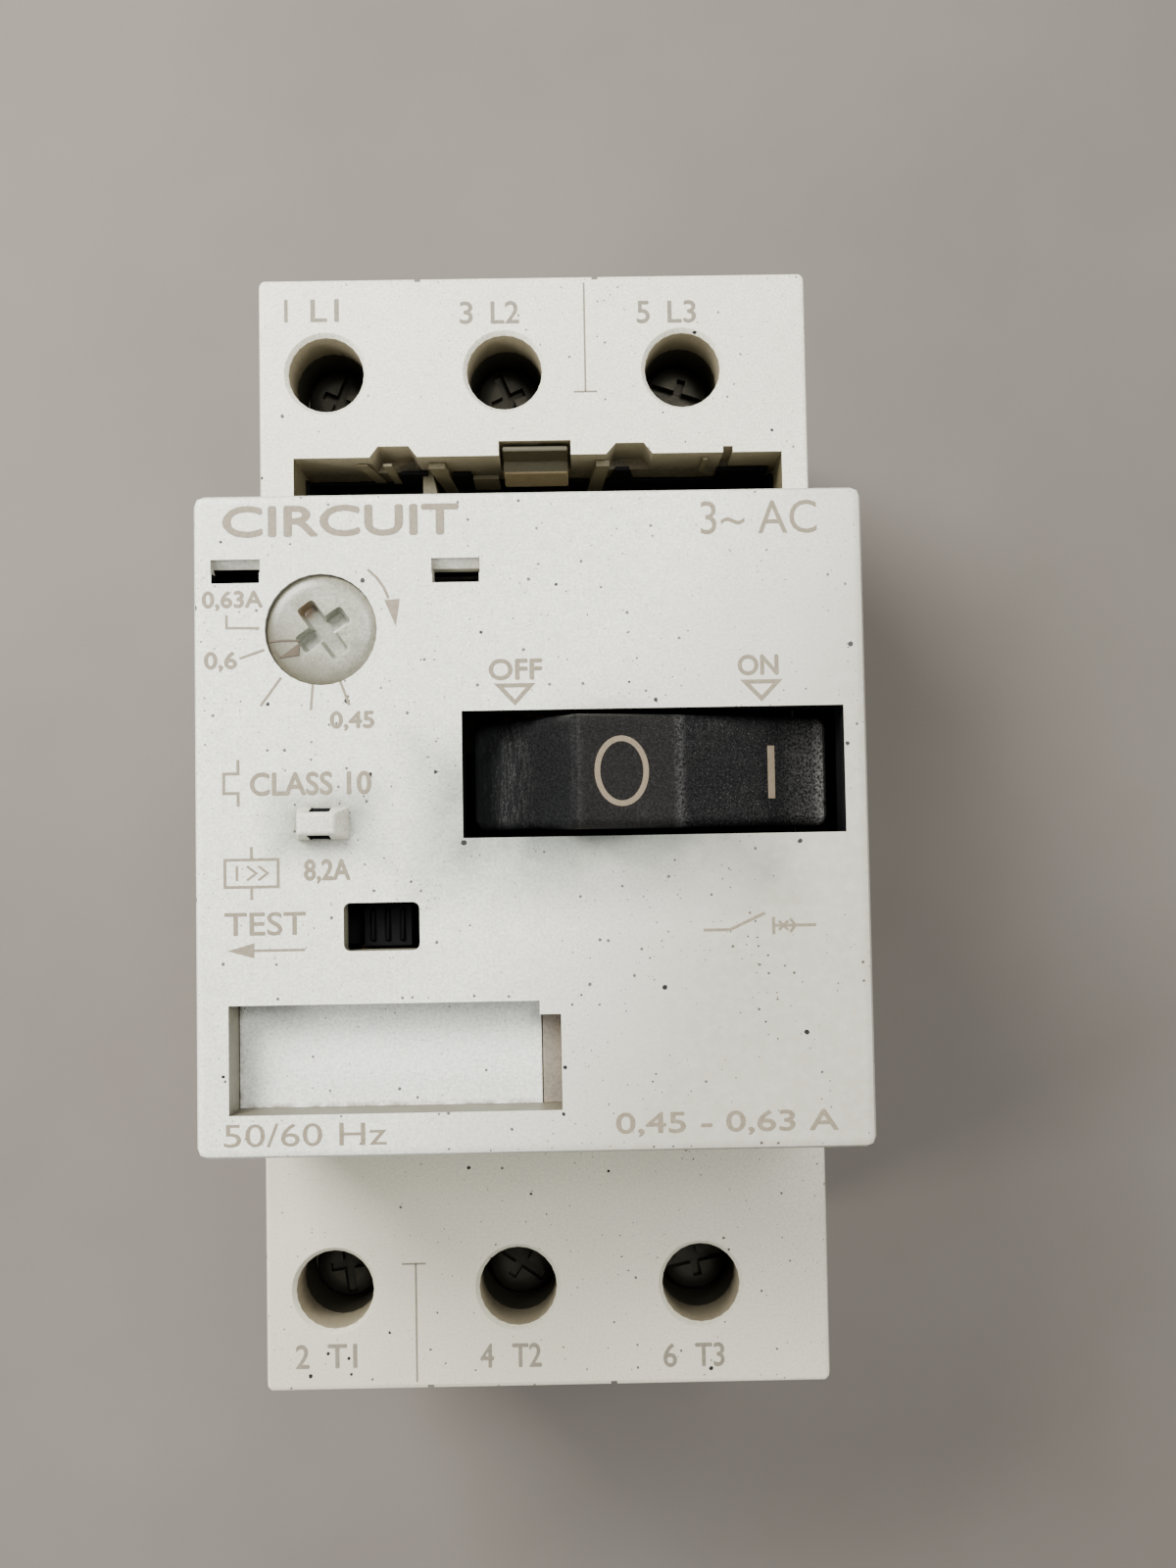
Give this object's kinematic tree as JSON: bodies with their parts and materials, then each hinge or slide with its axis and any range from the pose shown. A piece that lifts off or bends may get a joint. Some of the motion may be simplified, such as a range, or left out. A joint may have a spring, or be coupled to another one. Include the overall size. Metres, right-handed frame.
{
  "type": "motor protection breaker",
  "caption": "Three-pole motor protection breaker: two-step insulating housing for a mounting rail, tilting rocker, setting dial, test slider and screw terminals at both ends",
  "frame": {"origin": "middle of the back face, on the plane that it rests on", "axes": "+Z out of the front, +Y towards the line terminals, +X to the right as seen from the front"},
  "size_m": [0.045, 0.09, 0.075],
  "materials": {
    "cover_white": "fine matte moulded polyamide, cool off-white",
    "housing_cream": "fine matte moulded polyamide, slightly creamier than the cover",
    "base_grey": "matte moulded thermoset, cream",
    "clip_grey": "matte moulded plastic, cream grey",
    "charcoal": "fine textured charcoal plastic",
    "black_plastic": "matte black plastic",
    "beige_plastic": "matte beige plastic",
    "dial_white": "slightly glossy, faintly translucent white plastic",
    "zinc_steel": "zinc plated steel",
    "bright_steel": "bright spring and pin steel",
    "dark_steel": "dull splitter plate steel",
    "copper": "bare copper strip",
    "brass": "thermostatic bimetal"
  },
  "bodies": {
    "housing": {"base_housing": "base_grey", "upper_housing": "housing_cream", "front_cover": "cover_white", "window_liner": "black_plastic", "rocker_pin": "bright_steel", "mechanism_frame": "zinc_steel", "label_plate": "cover_white", "accessory_latch": "beige_plastic", "rail_clip_spring": "bright_steel", "test_spring": "bright_steel", "opening_spring": "bright_steel", "line_conductor_1": "copper", "line_conductor_2": "copper", "line_conductor_3": "copper", "coil_conductor_1": "copper", "coil_conductor_2": "copper", "coil_conductor_3": "copper", "load_conductor_1": "copper", "load_conductor_2": "copper", "load_conductor_3": "copper", "arc_chute_1": "dark_steel", "arc_chute_2": "dark_steel", "arc_chute_3": "dark_steel", "trip_coil_1": "copper", "trip_coil_2": "copper", "trip_coil_3": "copper", "bimetal_1": "brass", "bimetal_2": "brass", "bimetal_3": "brass", "heater_1": "bright_steel", "heater_2": "bright_steel", "heater_3": "bright_steel"},
    "rocker": {"rocker": "charcoal", "drive_pin": "bright_steel"},
    "carrier": {"contact_carrier": "black_plastic", "contact_bridge_1": "copper", "contact_bridge_2": "copper", "contact_bridge_3": "copper", "contact_spring_1": "bright_steel", "contact_spring_2": "bright_steel", "contact_spring_3": "bright_steel"},
    "dial": {"setting_dial": "dial_white"},
    "test_slider": {"test_slider": "black_plastic"},
    "trip_bar": {"trip_bar": "black_plastic"},
    "rail_clip": {"rail_clip": "clip_grey"},
    "plunger_1": {"trip_plunger_1": "zinc_steel"},
    "plunger_2": {"trip_plunger_2": "zinc_steel"},
    "plunger_3": {"trip_plunger_3": "zinc_steel"},
    "line_clamp_1": {"line_clamp_1": "zinc_steel"},
    "line_screw_1": {"line_screw_1": "zinc_steel"},
    "line_clamp_2": {"line_clamp_2": "zinc_steel"},
    "line_screw_2": {"line_screw_2": "zinc_steel"},
    "line_clamp_3": {"line_clamp_3": "zinc_steel"},
    "line_screw_3": {"line_screw_3": "zinc_steel"},
    "load_clamp_1": {"load_clamp_1": "zinc_steel"},
    "load_screw_1": {"load_screw_1": "zinc_steel"},
    "load_clamp_2": {"load_clamp_2": "zinc_steel"},
    "load_screw_2": {"load_screw_2": "zinc_steel"},
    "load_clamp_3": {"load_clamp_3": "zinc_steel"},
    "load_screw_3": {"load_screw_3": "zinc_steel"}
  },
  "joints": [
    {"name": "rocker_tilt", "type": "hinge", "parent": "housing", "child": "rocker", "pos_m": [0.00815, 0.00287, 0.065], "axis": [0, 1, 0], "range_deg": [0, 28]},
    {"name": "carrier_slide", "type": "slide", "parent": "housing", "child": "carrier", "axis": [0, 0, -1], "range_m": [0, 0.00339], "deforming": ["opening_spring"]},
    {"name": "dial_turn", "type": "hinge", "parent": "housing", "child": "dial", "pos_m": [-0.01392, 0.01272, 0.07], "axis": [0, 0, 1], "range_deg": [-32, 76]},
    {"name": "test_slide", "type": "slide", "parent": "housing", "child": "test_slider", "axis": [-1, 0, 0], "range_m": [0, 0.0016], "stiffness_N_per_m": 300, "springref_m": -0.001, "deforming": ["test_spring"]},
    {"name": "trip_bar_slide", "type": "slide", "parent": "housing", "child": "trip_bar", "axis": [-1, 0, 0], "range_m": [0, 0.0016]},
    {"name": "rail_clip_slide", "type": "slide", "parent": "housing", "child": "rail_clip", "axis": [0, -1, 0], "range_m": [0, 0.0026], "stiffness_N_per_m": 2000, "springref_m": -0.001, "deforming": ["rail_clip_spring"]},
    {"name": "plunger_1_slide", "type": "slide", "parent": "housing", "child": "plunger_1", "axis": [0, 0, 1], "range_m": [0, 0.0018], "stiffness_N_per_m": 100, "springref_m": -0.001},
    {"name": "plunger_2_slide", "type": "slide", "parent": "housing", "child": "plunger_2", "axis": [0, 0, 1], "range_m": [0, 0.0018], "stiffness_N_per_m": 100, "springref_m": -0.001},
    {"name": "plunger_3_slide", "type": "slide", "parent": "housing", "child": "plunger_3", "axis": [0, 0, 1], "range_m": [0, 0.0018], "stiffness_N_per_m": 100, "springref_m": -0.001},
    {"name": "line_clamp_1_slide", "type": "slide", "parent": "housing", "child": "line_clamp_1", "axis": [0, 0, -1], "range_m": [0, 0.0035]},
    {"name": "line_screw_1_turn", "type": "hinge", "parent": "line_clamp_1", "child": "line_screw_1", "pos_m": [-0.017, 0.0371, 0.0434], "axis": [0, 0, -1], "range_deg": [0, 1800]},
    {"name": "line_clamp_2_slide", "type": "slide", "parent": "housing", "child": "line_clamp_2", "axis": [0, 0, -1], "range_m": [0, 0.0035]},
    {"name": "line_screw_2_turn", "type": "hinge", "parent": "line_clamp_2", "child": "line_screw_2", "pos_m": [-0.00235, 0.0371, 0.0434], "axis": [0, 0, -1], "range_deg": [0, 1800]},
    {"name": "line_clamp_3_slide", "type": "slide", "parent": "housing", "child": "line_clamp_3", "axis": [0, 0, -1], "range_m": [0, 0.0035]},
    {"name": "line_screw_3_turn", "type": "hinge", "parent": "line_clamp_3", "child": "line_screw_3", "pos_m": [0.0123, 0.0371, 0.0434], "axis": [0, 0, -1], "range_deg": [0, 1800]},
    {"name": "load_clamp_1_slide", "type": "slide", "parent": "housing", "child": "load_clamp_1", "axis": [0, 0, -1], "range_m": [0, 0.0035]},
    {"name": "load_screw_1_turn", "type": "hinge", "parent": "load_clamp_1", "child": "load_screw_1", "pos_m": [-0.017, -0.0371, 0.0434], "axis": [0, 0, -1], "range_deg": [0, 1800]},
    {"name": "load_clamp_2_slide", "type": "slide", "parent": "housing", "child": "load_clamp_2", "axis": [0, 0, -1], "range_m": [0, 0.0035]},
    {"name": "load_screw_2_turn", "type": "hinge", "parent": "load_clamp_2", "child": "load_screw_2", "pos_m": [-0.00235, -0.0371, 0.0434], "axis": [0, 0, -1], "range_deg": [0, 1800]},
    {"name": "load_clamp_3_slide", "type": "slide", "parent": "housing", "child": "load_clamp_3", "axis": [0, 0, -1], "range_m": [0, 0.0035]},
    {"name": "load_screw_3_turn", "type": "hinge", "parent": "load_clamp_3", "child": "load_screw_3", "pos_m": [0.0123, -0.0371, 0.0434], "axis": [0, 0, -1], "range_deg": [0, 1800]}
  ],
  "couplings": [
    {"joint": "rocker_tilt", "follows": "carrier_slide", "rad_per_m": 144.28},
    {"joint": "trip_bar_slide", "follows": "test_slide", "ratio": 1},
    {"joint": "line_screw_1_turn", "follows": "line_clamp_1_slide", "rad_per_m": 8976},
    {"joint": "line_screw_2_turn", "follows": "line_clamp_2_slide", "rad_per_m": 8976},
    {"joint": "line_screw_3_turn", "follows": "line_clamp_3_slide", "rad_per_m": 8976},
    {"joint": "load_screw_1_turn", "follows": "load_clamp_1_slide", "rad_per_m": 8976},
    {"joint": "load_screw_2_turn", "follows": "load_clamp_2_slide", "rad_per_m": 8976},
    {"joint": "load_screw_3_turn", "follows": "load_clamp_3_slide", "rad_per_m": 8976}
  ]
}
